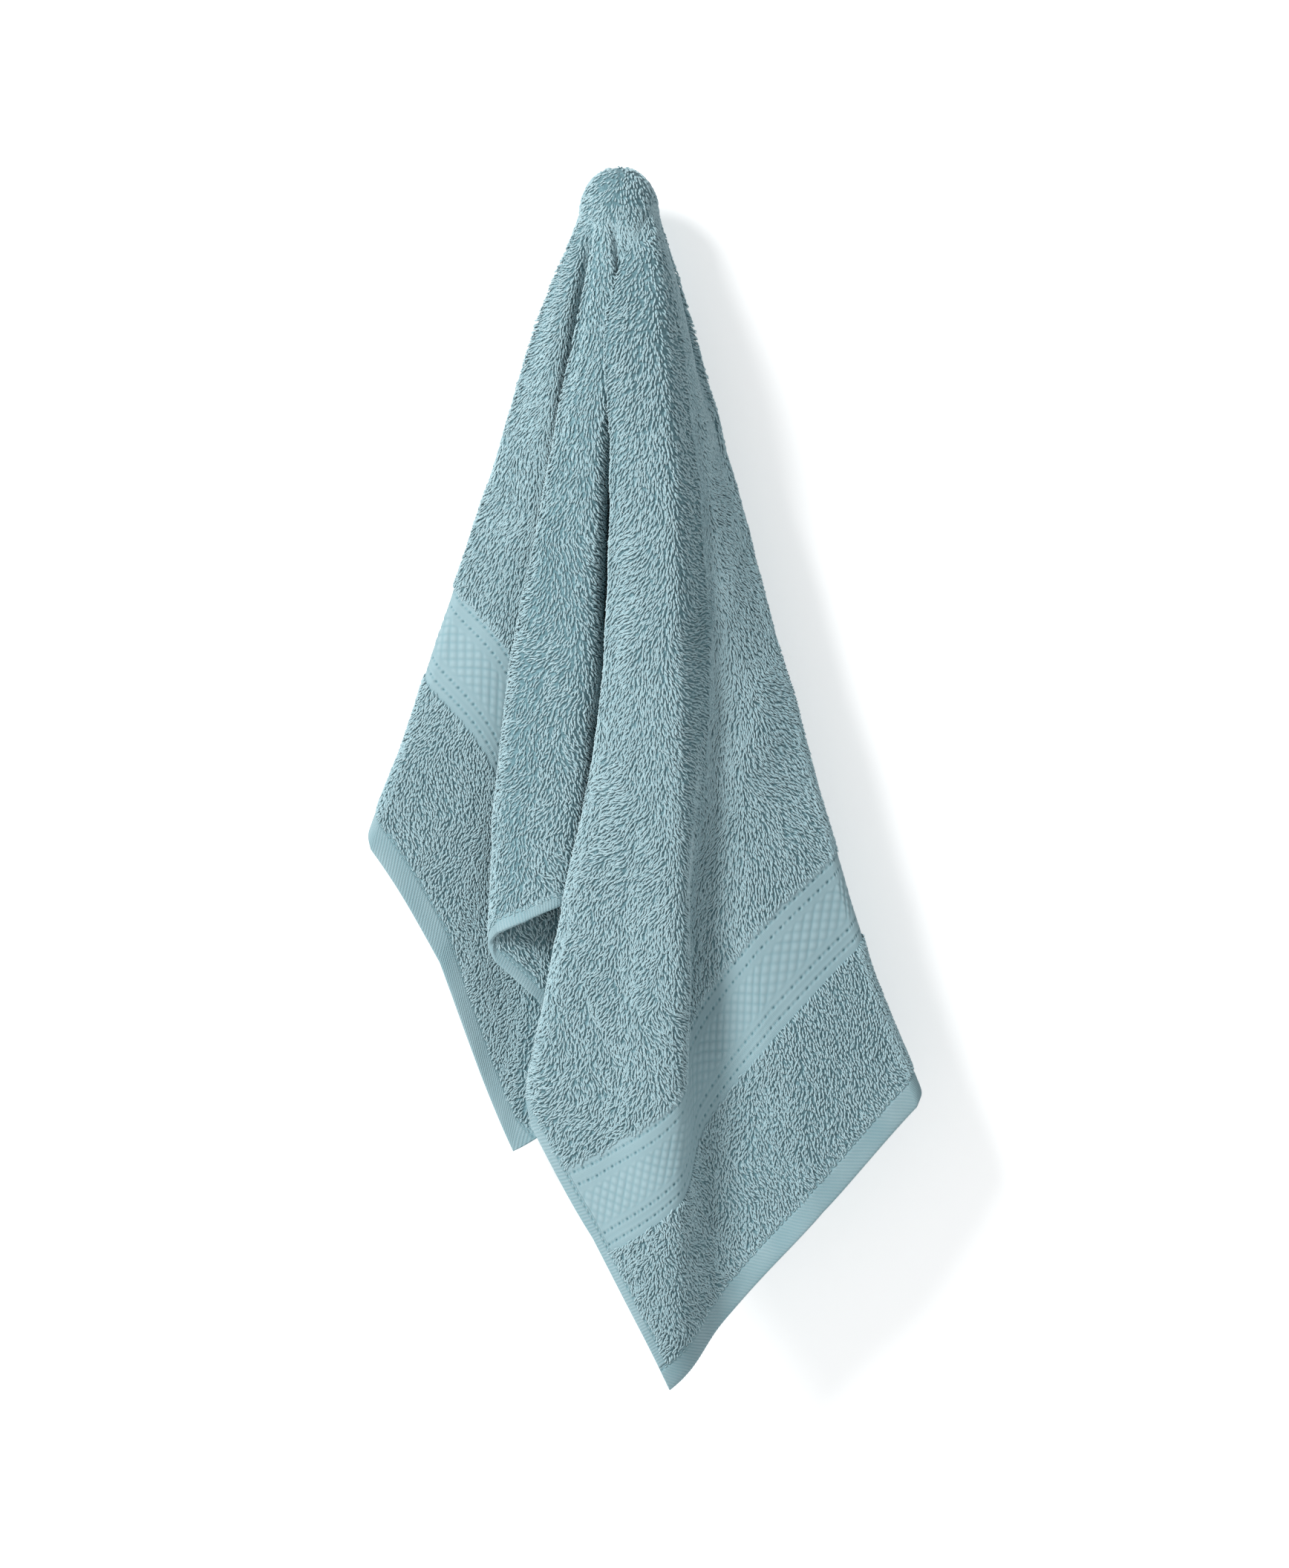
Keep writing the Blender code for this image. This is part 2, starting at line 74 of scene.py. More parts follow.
# Fold lines running down from the hook: name, angle on the flat cloth in
# degrees, share of length kept, turn (0 none, 1 hidden, 2 shown), x and y in
# mm at the heights above.
FOLDS = (
    ("back", -180, 1.0, 0, (0, 0, 0, 0, 0, 0), (23, 26, 26)),
    ("back_left", -140, 1.0, 1, (-27, -44, -58, -70, -80, -90), (20, 23, 23)),
    ("short_corner", -109.5, 1.0, 1, (-24, -30, -30, -32, -34, -36), (16, 19, 21)),
    ("left_tuck", -94, 1.0, 1, (-34, -56, -91, -126, -160, -192), (12, 15, 17.5)),
    ("left_under", -79, 1.0, 1, (-19, -24, -34, -50, -64, -78), (8, 10, 14)),
    ("left_edge", -63.8, 0.909, 2, (-38, -65, -106, -155, -200, -246), (2, 4, -2)),
    ("left_panel", -55, 0.964, 0, (-28, -42, -61, -93, -132, -170), (-11, -9, 1)),
    ("left_corner", -45.3, 1.0, 0, (-19, -31, -39, -46, -59, -72), (-6, -3, 8)),
    ("inner_turn", -40, 1.0, 1, (-12, -11, -9, -8, -10, -12), (-8, -4, -4)),
    ("roll_under", -34.2, 1.0, 0, (-14, -22, -28, -33, -42, -50), (-13, -13, -15)),
    ("roll_left", -27.4, 1.0, 2, (-18, -35, -58, -69, -80, -90), (-21, -20, -23)),
    ("roll_crest", -23.5, 1.0, 0, (-11, -23, -39, -51, -60, -68), (-30, -29, -36)),
    ("roll_right", -19.7, 1.0, 0, (-4, -10, -17, -31, -41, -50), (-32, -32, -34)),
    ("crease", -14.5, 1.0, 0, (-2, -5, -9, -18, -24, -30), (-25, -13, -13)),
    ("pleat_1", -4, 1.0, 1, (1, 8, 20, 34, 48, 62), (-22, -12, -12)),
    ("pleat_2", 8, 1.0, 1, (-2, -1, -4, -8, -10, -12), (-25, -18, -19)),
    ("pleat_3", 22, 1.0, 1, (4, 12, 23, 38, 54, 70), (-27, -24, -26)),
    ("flap_in", 37, 1.0, 0, (1, 2, -1, -18, -30, -38), (-30, -31, -33)),
    ("flap_left", 44, 0.957, 2, (-3, -3, -8, -32, -58, -74), (-33, -38, -40)),
    ("flap_swell", 50, 0.985, 0, (6, 11, 11, 2, -13, -16), (-36, -45, -50)),
    ("flap_ridge", 55.1, 1.0, 0, (20, 28, 32, 31, 28, 26), (-34, -44, -53)),
    ("flap_valley", 58.8, 0.99, 0, (28, 39, 46, 36, 49, 68), (-22, -25, -31)),
    ("right_panel", 65, 0.9635, 0, (31, 46, 63, 72, 107, 142), (-15, -21, -32)),
    ("right_edge", 72.6, 0.931, 2, (33.5, 56.5, 91.5, 129, 181, 226), (-3, -8, -15)),
    ("right_under", 84, 1.0, 1, (17, 22, 36, 53, 73, 90), (6, 4, 2)),
    ("right_tuck", 94, 1.0, 1, (29, 44, 66, 88, 112, 136), (12, 11, 9)),
    ("long_corner", 104, 1.0, 1, (22, 26, 30, 40, 54, 66), (16, 17, 16)),
    ("back_right", 140, 1.0, 1, (27, 44, 58, 70, 80, 90), (20, 23, 23)),
)

# Where the photograph shows how far from the hook a fold line's band and hem
# lie: length along the flat cloth, distance from the hook, mm.
REACH = {
    "left_edge": ((275.3, 235.5), (328.8, 287.5), (414.6, 376.5)),
    "left_panel": ((301.5, 263), (360.1, 323), (454.1, 431)),
    "left_corner": ((347.5, 334), (415, 406), (523.3, 523.7)),
    "inner_turn": ((384, 376), (480, 478)),
    "flap_left": ((300, 286), (511.6, 490)),
    "flap_swell": ((300, 296), (526.1, 518), (572.5, 563.7)),
    "flap_ridge": ((300, 298), (491.4, 490.8), (549.9, 549.9), (643.6, 643.6)),
    "flap_valley": ((300, 284), (471.1, 450.5), (527.2, 511), (617.3, 609.5)),
    "right_panel": ((300, 270), (444.7, 408.8), (497.6, 466.5), (582.6, 561.3)),
    "right_edge": ((300, 262), (422.3, 375.5), (472.6, 426.5), (553.3, 514)),
}


def hermite(t, p, s):
    """Smooth curve through p at t, read at s."""
    t, p = np.asarray(t, float), np.asarray(p, float)
    m = np.gradient(p, t)
    i = np.clip(np.searchsorted(t, s, side="right") - 1, 0, len(t) - 2)
    h = t[i + 1] - t[i]
    u = (s - t[i]) / h
    return ((2*u**3 - 3*u**2 + 1)*p[i] + (u**3 - 2*u**2 + u)*h*m[i]
            + (3*u**2 - 2*u**3)*p[i + 1] + (u**3 - u**2)*h*m[i + 1])


RADII = np.linspace(0.0, 760.0, 381)


def fold_line(ang, kept, xs, ys, lift=0.0, back=0.0, reach=None):
    """One fold line from the hook down, by length along the cloth (mm)."""
    z = np.linspace(RING_AT, 690, 334)
    ax, ay = math.sin(math.radians(ang)), -math.cos(math.radians(ang))
    x = hermite((RING_AT,) + X_AT, (RING*ax,) + tuple(xs), z)
    y = hermite((RING_AT,) + Y_AT + (700,), (RING*ay,) + tuple(ys) + (ys[-1],), z)
    t = np.clip((z - RING_AT)/75, 0, 1)
    x, y = x - back*t*t*(3 - 2*t), y + lift*t*t*(3 - 2*t)
    th = np.linspace(0, math.pi/2, 25)[:-1]
    top = np.stack([x[0]*np.sin(th), y[0]*np.sin(th), -RING_AT*(1 - np.cos(th))], 1)
    pts = np.concatenate([top, np.stack([x, y, -z], 1)])
    s = np.r_[0, np.cumsum(np.linalg.norm(np.diff(pts, axis=0), axis=1))]
    t = np.clip((RADII - 30)/330, 0, 1)
    rr = RADII*(1 + (EASE - 1 - (1 - kept))*t*t*(3 - 2*t))
    if reach:
        far = np.maximum.accumulate(np.hypot(pts[:, 0], pts[:, 2]) + 1e-6*s)
        r0, d0 = 60.0, np.interp(60.0, s, far)
        r, d = np.array([(r0, d0)] + list(reach) + [(reach[-1][0] + 100, reach[-1][1] + 100)]).T
        want = np.where(RADII < r0, np.interp(RADII, s, far), hermite(r, d, RADII))
        rr = np.interp(want, far, s)
    return np.stack([np.interp(rr, s, pts[:, j]) for j in range(3)], 1)


ANGLES, LINES = [], []
for k, (name, ang, kept, turn, xs, ys) in enumerate(FOLDS):
    if turn:
        # a turn is a half-round bend: its two sides and its outermost line
        half = (BEND if turn == 1 else ROLL)*1000
        side = half if ang < 50 else -half
        beside = FOLDS[k - 1][4][1] + FOLDS[(k + 1) % len(FOLDS)][4][1]
        out = half if 2*xs[1] > beside else -half
        da = 1.6 if turn == 1 else 1.9
        ANGLES += [ang - da, ang, ang + da]
        at = REACH.get(name)
        LINES += [fold_line(ang - da, kept, xs, ys, side, out, at),
                  fold_line(ang, kept, xs, ys, 0.0, 0.0, at),
                  fold_line(ang + da, kept, xs, ys, -side, out, at)]
    else:
        ANGLES.append(ang)
        LINES.append(fold_line(ang, kept, xs, ys, 0.0, 0.0, REACH.get(name)))
ANGLES.append(180.0)
LINES.append(LINES[0])
ANGLES, LINES = np.array(ANGLES, float), np.array(LINES)


def drape(a, b):
    """Flat position (m) to its place on the folded towel (m)."""
    a, b = np.asarray(a, float)*1000, np.asarray(b, float)*1000
    phi = np.degrees(np.arctan2(b, a))
    r = np.hypot(a, b)
    n = len(ANGLES) - 1
    i = np.clip(np.searchsorted(ANGLES, phi, side="right") - 1, 0, n - 1)
    jr = np.clip(r/2.0, 0, len(RADII) - 1.001)
    j = jr.astype(int)
    f = (jr - j)[..., None]
    im, ip = np.where(i < 1, n - 1, i - 1), np.where(i + 2 > n, 1, i + 2)
    at = lambda k: LINES[k, j]*(1 - f) + LINES[k, j + 1]*f
    p0, p1, pm, pp = at(i), at(i + 1), at(im), at(ip)
    h = (ANGLES[i + 1] - ANGLES[i])[..., None]
    t = (phi[..., None] - ANGLES[i][..., None])/h
    size = lambda v: np.maximum(np.linalg.norm(v, axis=-1, keepdims=True), 1e-9)
    chord = size(p1 - p0)
    m0, m1 = (p1 - pm)/size(p1 - pm)*chord, (pp - p0)/size(pp - p0)*chord
    q = ((2*t**3 - 3*t**2 + 1)*p0 + (t**3 - 2*t**2 + t)*m0
         + (3*t**2 - 2*t**3)*p1 + (t**3 - t**2)*m1)
    return q*0.001 + np.array([0, 0, PILE_T/2])


A0, A1 = HOOK_TO_NEAR - WIDTH, HOOK_TO_NEAR
B0, B1 = HOOK_TO_LONG_END - LENGTH, HOOK_TO_LONG_END
H0, H1 = A0 + SIDE_HEM, A1 - SIDE_HEM
F0, F1 = B0 + BAND_FROM_END + BAND, B1 - BAND_FROM_END - BAND
rng = np.random.RandomState(11)
LATTICE = rng.rand(6, 256, 256)


def noise(x, y, k=0):
    """Smooth repeatable noise, -1 to 1, one cell per unit."""
    x, y = np.asarray(x, float) + 500.3, np.asarray(y, float) + 500.7
    i, j = np.floor(x).astype(int), np.floor(y).astype(int)
    u, v = x - i, y - j
    u, v = u*u*(3 - 2*u), v*v*(3 - 2*v)
    g = LATTICE[k]
    i0, i1, j0, j1 = i % 256, (i + 1) % 256, j % 256, (j + 1) % 256
    return 2*((g[i0, j0]*(1 - u) + g[i1, j0]*u)*(1 - v)
              + (g[i0, j1]*(1 - u) + g[i1, j1]*u)*v) - 1


def bump01(x, lo, hi, soft):
    return np.clip((x - lo)/soft, 0, 1)*np.clip((hi - x)/soft, 0, 1)


def swell(a, b):
    """Slack in the cloth, metres along its normal: shallow uneven swells, and
    soft gathers fanning out from the hook where the folds hold more cloth than
    they show."""
    r = np.hypot(a, b)
    phi = np.degrees(np.arctan2(b, a))
    fade = np.clip((r - 0.05)/0.12, 0, 1)
    w = 0.0011*noise(a/0.050, b/0.050, 0) + 0.0006*noise(a/0.021, b/0.021, 1)
    held = np.maximum.reduce([bump01(phi, -11, 39, 5), 0.85*bump01(phi, 79, 172, 9),
                              0.85*bump01(phi, -150, -106, 8)])
    turns = np.radians(phi)*(92.0 + 4.0*noise(phi/25.0, r/0.3, 5))
    g = np.clip((r - 0.05)/0.09, 0, 1)*np.minimum(0.0105*r + 0.0002, 0.0046)
    return w*fade + held*g*np.sin(turns)


def surface(a, b):
    """Place, outward normal and unit tangents of the cloth's middle."""
    a, b = np.asarray(a, float), np.asarray(b, float)
    e = 0.0009
    ta = (drape(a + e, b) - drape(a - e, b))/(2*e)
    tb = (drape(a, b + e) - drape(a, b - e))/(2*e)
    unit = lambda v: v/np.maximum(np.linalg.norm(v, axis=-1, keepdims=True), 1e-12)
    n = unit(np.cross(ta, tb))
    near = np.hypot(a, b) < 0.004
    n[near] = (0, 0, 1)
    w = swell(a, b)
    ta = ta + n*((swell(a + e, b) - swell(a - e, b))/(2*e))[..., None]
    tb = tb + n*((swell(a, b + e) - swell(a, b - e))/(2*e))[..., None]
    p = drape(a, b) + n*w[..., None]
    n = np.where(near[..., None], n, unit(np.cross(ta, tb)))
    return p, n, unit(ta), unit(tb)


def squeeze(a, b):
    return np.clip(0.4 + (np.hypot(a, b) - 0.03)/0.14, 0.4, 1.0)


# ---- materials ---------------------------------------------------------------
def material(name, rough, sheen=0.35, spec=0.25):
    m = bpy.data.materials.new(name)
    m.use_nodes = True
    nt = m.node_tree
    bsdf = next(x for x in nt.nodes if x.type == "BSDF_PRINCIPLED")
    bsdf.inputs["Roughness"].default_value = rough
    bsdf.inputs["Sheen Weight"].default_value = sheen
    bsdf.inputs["Sheen Roughness"].default_value = 0.5
    bsdf.inputs["Sheen Tint"].default_value = (0.78, 0.93, 0.97, 1)
    bsdf.inputs["Specular IOR Level"].default_value = spec
    return m, nt, bsdf


def node(nt, kind, **values):
    n = nt.nodes.new(kind)
    for k, v in values.items():
        if k in n.inputs.keys():
            n.inputs[k].default_value = v
        else:
            setattr(n, k, v)
    return n


def ramp(nt, stops):
    n = nt.nodes.new("ShaderNodeValToRGB")
    els = n.color_ramp.elements
    while len(els) < len(stops):
        els.new(0.5)
    for e, (at, c) in zip(els, stops):
        e.position, e.color = at, (*c, 1)
    return n


# Teal tones: the deep tone is painted shade for the weave's hollows and holes; the root tone is painted
# shade at the loops' roots, on the ground between them and in the weave's hollows; the body tone is the
# cloth's own colour; the tip tone is painted light on the loops' tips.
DEEP_SHADE = (0.075, 0.165, 0.195)
ROOT_SHADE = (0.215, 0.365, 0.405)
BODY = (0.355, 0.512, 0.552)
TIP_LIGHT = (0.490, 0.645, 0.680)


def pile_material():
    """Loops: dark at the root as painted shade, pale at the tip as painted light, uneven from loop to loop.
    """
    m, nt, bsdf = material("terry_loops", 0.86, 0.45)
    L = nt.links.new
    along = node(nt, "ShaderNodeAttribute", attribute_name="along")
    tone = node(nt, "ShaderNodeAttribute", attribute_name="tone")
    co = node(nt, "ShaderNodeTexCoord")
    big = node(nt, "ShaderNodeTexNoise", Scale=22.0, Detail=3.0, Roughness=0.55)
    L(co.outputs["Object"], big.inputs["Vector"])
    fibre = node(nt, "ShaderNodeTexNoise", Scale=1400.0, Detail=2.0)
    L(co.outputs["Object"], fibre.inputs["Vector"])
    # painted shade and light: the colour runs from the root tone at each loop's root to the tip tone at its
    # tip, shifted by a random tone per loop and a large noise
    shade = ramp(nt, [(0.0, ROOT_SHADE), (0.35, BODY), (1.0, TIP_LIGHT)])
    s1 = node(nt, "ShaderNodeMath", operation="MULTIPLY_ADD")
    s1.inputs[1].default_value = 0.34
    L(tone.outputs["Fac"], s1.inputs[0])
    L(along.outputs["Fac"], s1.inputs[2])
    s2 = node(nt, "ShaderNodeMath", operation="MULTIPLY_ADD")
    s2.inputs[1].default_value = 0.30
    L(big.outputs["Fac"], s2.inputs[0])
    L(s1.outputs[0], s2.inputs[2])
    s3 = node(nt, "ShaderNodeMath", operation="SUBTRACT")
    s3.inputs[1].default_value = 0.30
    L(s2.outputs[0], s3.inputs[0])
    L(s3.outputs[0], shade.inputs["Fac"])
    L(shade.outputs["Color"], bsdf.inputs["Base Color"])
    rr = node(nt, "ShaderNodeMapRange")
    rr.inputs["To Min"].default_value = 0.78
    rr.inputs["To Max"].default_value = 0.96
    L(fibre.outputs["Fac"], rr.inputs["Value"])
    L(rr.outputs["Result"], bsdf.inputs["Roughness"])
    bump = node(nt, "ShaderNodeBump", Strength=0.35, Distance=0.0002)
    L(fibre.outputs["Fac"], bump.inputs["Height"])
    L(bump.outputs["Normal"], bsdf.inputs["Normal"])
    return m


def ground_material():
    """The ground weave seen between the loops, in shade."""
    m, nt, bsdf = material("terry_ground", 0.95, 0.2)
    L = nt.links.new
    uv = node(nt, "ShaderNodeUVMap", uv_map="flat")
    mp = node(nt, "ShaderNodeMapping")
    mp.inputs["Scale"].default_value = (1, 1, 1)
    L(uv.outputs["UV"], mp.inputs["Vector"])
    v = node(nt, "ShaderNodeTexVoronoi", Scale=520.0)
    L(mp.outputs["Vector"], v.inputs["Vector"])
    n = node(nt, "ShaderNodeTexNoise", Scale=160.0, Detail=5.0, Roughness=0.65)
    L(mp.outputs["Vector"], n.inputs["Vector"])
    add = node(nt, "ShaderNodeMath", operation="MULTIPLY_ADD")
    add.inputs[1].default_value = -0.9
    L(v.outputs["Distance"], add.inputs[0])
    L(n.outputs["Fac"], add.inputs[2])
    # painted shade: the ground is coloured darker than the loops, and darkest at the borders of each cell,
    # for the shade between the loops
    c = ramp(nt, [(0.0, (0.12, 0.225, 0.255)), (0.45, ROOT_SHADE), (0.8, BODY)])
    L(add.outputs[0], c.inputs["Fac"])
    L(c.outputs["Color"], bsdf.inputs["Base Color"])
    bump = node(nt, "ShaderNodeBump", Strength=0.9, Distance=0.0012)
    L(add.outputs[0], bump.inputs["Height"])
    L(bump.outputs["Normal"], bsdf.inputs["Normal"])
    return m


def weave_material(name, body, pale, along_scale, across_scale, relief=True):
    """Flat weave: fine warp and weft threads on the flat coordinates, with the
    relief's hollows a little darker as painted shade and its raised parts paler as painted light."""
    m, nt, bsdf = material(name, 0.72, 0.30, 0.3)
    L = nt.links.new
    uv = node(nt, "ShaderNodeUVMap", uv_map="flat")
    w1 = node(nt, "ShaderNodeTexWave", Scale=along_scale, Distortion=0.6, Detail=1.0)
    w1.bands_direction = "X"
    w2 = node(nt, "ShaderNodeTexWave", Scale=across_scale, Distortion=0.6, Detail=1.0)
    w2.bands_direction = "Y"
    for w in (w1, w2):
        L(uv.outputs["UV"], w.inputs["Vector"])
    thread = node(nt, "ShaderNodeMath", operation="MULTIPLY")
    L(w1.outputs["Fac"], thread.inputs[0])
    L(w2.outputs["Fac"], thread.inputs[1])
    n = node(nt, "ShaderNodeTexNoise", Scale=60.0, Detail=4.0)
    L(uv.outputs["UV"], n.inputs["Vector"])
    # painted light and shade: the relief attribute darkens hollows and lightens raised parts in the colour
    h = node(nt, "ShaderNodeAttribute", attribute_name="relief")
    s = node(nt, "ShaderNodeMath", operation="MULTIPLY_ADD")
    s.inputs[1].default_value = 0.25
    soft = node(nt, "ShaderNodeMath", operation="MULTIPLY_ADD")
    soft.inputs[1].default_value = 0.60
    soft.inputs[2].default_value = 0.13
    L(h.outputs["Fac"], soft.inputs[0])
    L(thread.outputs[0], s.inputs[0])
    L(soft.outputs[0], s.inputs[2])
    s2 = node(nt, "ShaderNodeMath", operation="MULTIPLY_ADD")
    s2.inputs[1].default_value = 0.22
    L(n.outputs["Fac"], s2.inputs[0])
    L(s.outputs[0], s2.inputs[2])
    c = ramp(nt, [(0.0, DEEP_SHADE), (0.30, ROOT_SHADE), (0.62, body), (1.15 if False else 1.0, pale)])
    L(s2.outputs[0], c.inputs["Fac"])
    L(c.outputs["Color"], bsdf.inputs["Base Color"])
    rr = node(nt, "ShaderNodeMapRange")
    rr.inputs["To Min"].default_value = 0.62
    rr.inputs["To Max"].default_value = 0.85
    L(n.outputs["Fac"], rr.inputs["Value"])
    L(rr.outputs["Result"], bsdf.inputs["Roughness"])
    bump = node(nt, "ShaderNodeBump", Strength=0.5, Distance=0.00025)
    L(thread.outputs[0], bump.inputs["Height"])
    L(bump.outputs["Normal"], bsdf.inputs["Normal"])
    return m


M_LOOP, M_GROUND = pile_material(), ground_material()
M_BAND = weave_material("dobby_weave", (0.275, 0.405, 0.440), (0.350, 0.490, 0.525), 420.0, 420.0)
M_HEM = weave_material("hem_weave", (0.270, 0.400, 0.435), (0.355, 0.490, 0.525), 380.0, 520.0)
M_THREAD = weave_material("sewing_thread", (0.30, 0.45, 0.48), (0.42, 0.57, 0.60), 900.0, 900.0)


# ---- closed sheets on the folded surface -------------------------------------
def make(name, verts, faces, mat, uvs=None, attrs=None, smooth=True):
    me = bpy.data.meshes.new(name)
    verts = np.asarray(verts, np.float32)
    faces = np.asarray(faces, np.int32)
    k = faces.shape[1]
    me.vertices.add(len(verts))
    me.vertices.foreach_set("co", verts.ravel())
    me.loops.add(faces.size)
    me.loops.foreach_set("vertex_index", faces.ravel())
    me.polygons.add(len(faces))
    me.polygons.foreach_set("loop_start", np.arange(0, faces.size, k, dtype=np.int32))
    me.update(calc_edges=True)
    if uvs is not None:
        for lname, uv in uvs.items():
            lay = me.uv_layers.new(name=lname)
            lay.uv.foreach_set("vector", np.asarray(uv, np.float32).ravel())
    for aname, val in (attrs or {}).items():
        at = me.attributes.new(aname, "FLOAT", "POINT")
        at.data.foreach_set("value", np.asarray(val, np.float32))
    if smooth:
        me.polygons.foreach_set("use_smooth", np.ones(len(faces), bool))
    me.materials.append(mat)
    me.validate(clean_customdata=False)
    ob = bpy.data.objects.new(name, me)
    bpy.context.scene.collection.objects.link(ob)
    return ob


def sheet_mesh(name, a, b, thick, mat, relief=None, depth=0.0, backed=0.5):
    """Closed sheet over a grid of flat positions.  thick and relief are given
    per point; relief stands on the room side, and by a share on the back."""
    na, nb = len(a), len(b)
    ga, gb = np.meshgrid(a, b, indexing="ij")
    fa, fb = ga.ravel(), gb.ravel()
    p, n, ta, tb = surface(fa, fb)
    h = np.zeros(len(fa)) if relief is None else relief(fa, fb)
    t = (thick(fa, fb) if callable(thick) else np.full(len(fa), thick))/2
    top = p + n*(t + depth*h)[:, None]
    bot = p - n*(t + depth*h*backed)[:, None]
    idx = np.arange(na*nb).reshape(na, nb)
    q = np.stack([idx[:-1, :-1], idx[1:, :-1], idx[1:, 1:], idx[:-1, 1:]], -1).reshape(-1, 4)
    m = na*nb
    faces = [q, q[:, ::-1] + m]
    for line in (idx[0, ::-1], idx[-1, :], idx[:, 0], idx[::-1, -1]):
        u, v = line[:-1], line[1:]
        faces.append(np.stack([v, u, u + m, v + m], -1))
    faces = np.concatenate(faces)
    fl = faces % m
    uv = np.stack([fa[fl], fb[fl]], -1).reshape(-1, 2)
    # flat layout for the texture bake: both sides side by side
    ua, ub = (fa - a[0])/(a[-1] - a[0]), (fb - b[0])/(b[-1] - b[0])
    back = np.repeat(faces.min(1) >= m, 4)
    mixed = np.repeat((faces.min(1) < m) & (faces.max(1) >= m), 4)
    uu, vv = ua[fl].ravel(), ub[fl].ravel()
    if (b[-1] - b[0]) > (a[-1] - a[0]):
        bake = np.stack([uu*0.48 + np.where(back, 0.51, 0.01), 0.01 + vv*0.98], -1)
    else:
        bake = np.stack([0.01 + uu*0.98, vv*0.48 + np.where(back, 0.51, 0.01)], -1)
    side = (faces >= m).ravel() & mixed
    bake[side] += 0.0012
    # the relief is also kept as a point attribute; the weave materials turn it into painted shade in hollows
    # and painted light on raised parts
    return make(name, np.concatenate([top, bot]), faces, mat, {"flat": uv, "OFBake": bake},
                {"relief": np.concatenate([0.5 + 0.5*h, 0.5 + 0.5*h])})


def spaced(lo, hi, fine, coarse, reach=0.11):
    out = [lo]
    while out[-1] < hi - 1e-9:
        x = out[-1]
        s = fine + (coarse - fine)*min(max((abs(x) - 0.04)/reach, 0), 1)
        out.append(x + s)
    out = np.array(out)
    return lo + (out - lo)*(hi - lo)/(out[-1] - lo)


made = []
LAP = 0.0004     # zones meet with a small lap, as the weave runs on


def place(ob, *nodes, slot):
    z = max(v.co.z for v in ob.data.vertices)
    if z > -0.11:
        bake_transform(ob)
    else:
        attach(ob, "drape")
    if nodes:
        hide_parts(*nodes)
    made.append(ob)
    return ob


GROUND_T = 0.0020


def pile_thick(a, b):
    return GROUND_T*squeeze(a, b)


def pile_relief(a, b):
    return 0.6*noise(a/0.0045, b/0.0045, 2) + 0.4*noise(a/0.0022, b/0.0022, 3)


place(sheet_mesh(
    "pile_ground_main", spaced(H0 - LAP, H1 + LAP, 0.0013, 0.0029),
    spaced(F0 - LAP, F1 + LAP, 0.0013, 0.0029), pile_thick, M_GROUND, pile_relief, 0.00022),
    "main_pile", "hook_gather", slot="terry_pile")

ENDS = (("long_end", 1, B1), ("short_end", -1, B0))
for end, sgn, edge in ENDS:
    lo, hi = sorted((edge - sgn*(END_HEM - LAP), edge - sgn*(BAND_FROM_END + LAP)))
    place(sheet_mesh(
        "pile_ground_" + end, np.linspace(H0 - LAP, H1 + LAP, 300), np.linspace(lo, hi, 42),
        pile_thick, M_GROUND, pile_relief, 0.00022), end + "_pile", slot="terry_pile")


def bell(x, at, w):
    return np.exp(-((x - at)/w)**2)


def band_relief(edge, sgn):
    """Dobby band: ribbed strips, four rows of drawn-thread holes and a waffle."""
    def f(a, b):
        d = (np.abs(edge - b) - BAND_FROM_END)*1000      # mm in from the outer edge
        h = 0.10*np.sin(2*math.pi*d/0.9)*(1 - 0.3*noise(a/0.004, b/0.002, 2))
        # drawn-thread holes: their deep relief also colours them dark through the relief attribute, painted
        # shade in the holes
        for row, at in enumerate((4.9, 11.1, 37.7, 43.9)):
            pit = np.clip(0.62 + 0.85*np.cos(2*math.pi*(a*1000 + 0.9*row)/2.9), 0, 1)
            big = 0.78 + 0.22*np.cos(2*math.pi*(a*1000 + 0.9*row)/5.8)
            h = h*(1 - bell(d, at, 1.3)) + bell(d, at, 0.60)*(0.45 - 3.0*pit*big)
            h = h + 0.30*bell(d, at - 1.4, 0.5) + 0.30*bell(d, at + 1.4, 0.5)
        inside = np.clip((d - 14.6)/1.2, 0, 1)*np.clip((34.4 - d)/1.2, 0, 1)
        p = (a + b)*1000/math.sqrt(2)
        q = (a - b)*1000/math.sqrt(2)
        pil = (np.abs(np.cos(math.pi*p/4.5))*np.abs(np.cos(math.pi*q/4.5)))**0.5
        # the last term tilts each waffle cell, so through the relief colour its raised side is painted
        # lighter and its low side darker: painted light and shade
        h = h*(1 - inside) + inside*(1.7*pil - 0.9 + 0.25*((q/4.5 + 0.5) % 1 - 0.5))
        return h
    return f


for end, sgn, edge in ENDS:
    lo, hi = sorted((edge - sgn*BAND_FROM_END, edge - sgn*(BAND_FROM_END + BAND)))
    na, nb = int((H1 - H0)/0.00072), int((hi - lo)/0.00070)
    place(sheet_mesh("dobby_band_" + end, np.linspace(H0 - LAP, H1 + LAP, na),
                     np.linspace(lo, hi, nb), 0.0024, M_BAND, band_relief(edge, sgn), 0.00034, 0.3),
          end + "_band", slot="dobby_weave")


def hem_thick(lo, hi, axis):
    def f(a, b):
        s = ((a, b)[axis] - lo)/(hi - lo)
        return 0.0030*(0.45 + 0.55*np.sqrt(np.clip(1 - (2*s - 1)**4, 0, 1)))
    return f


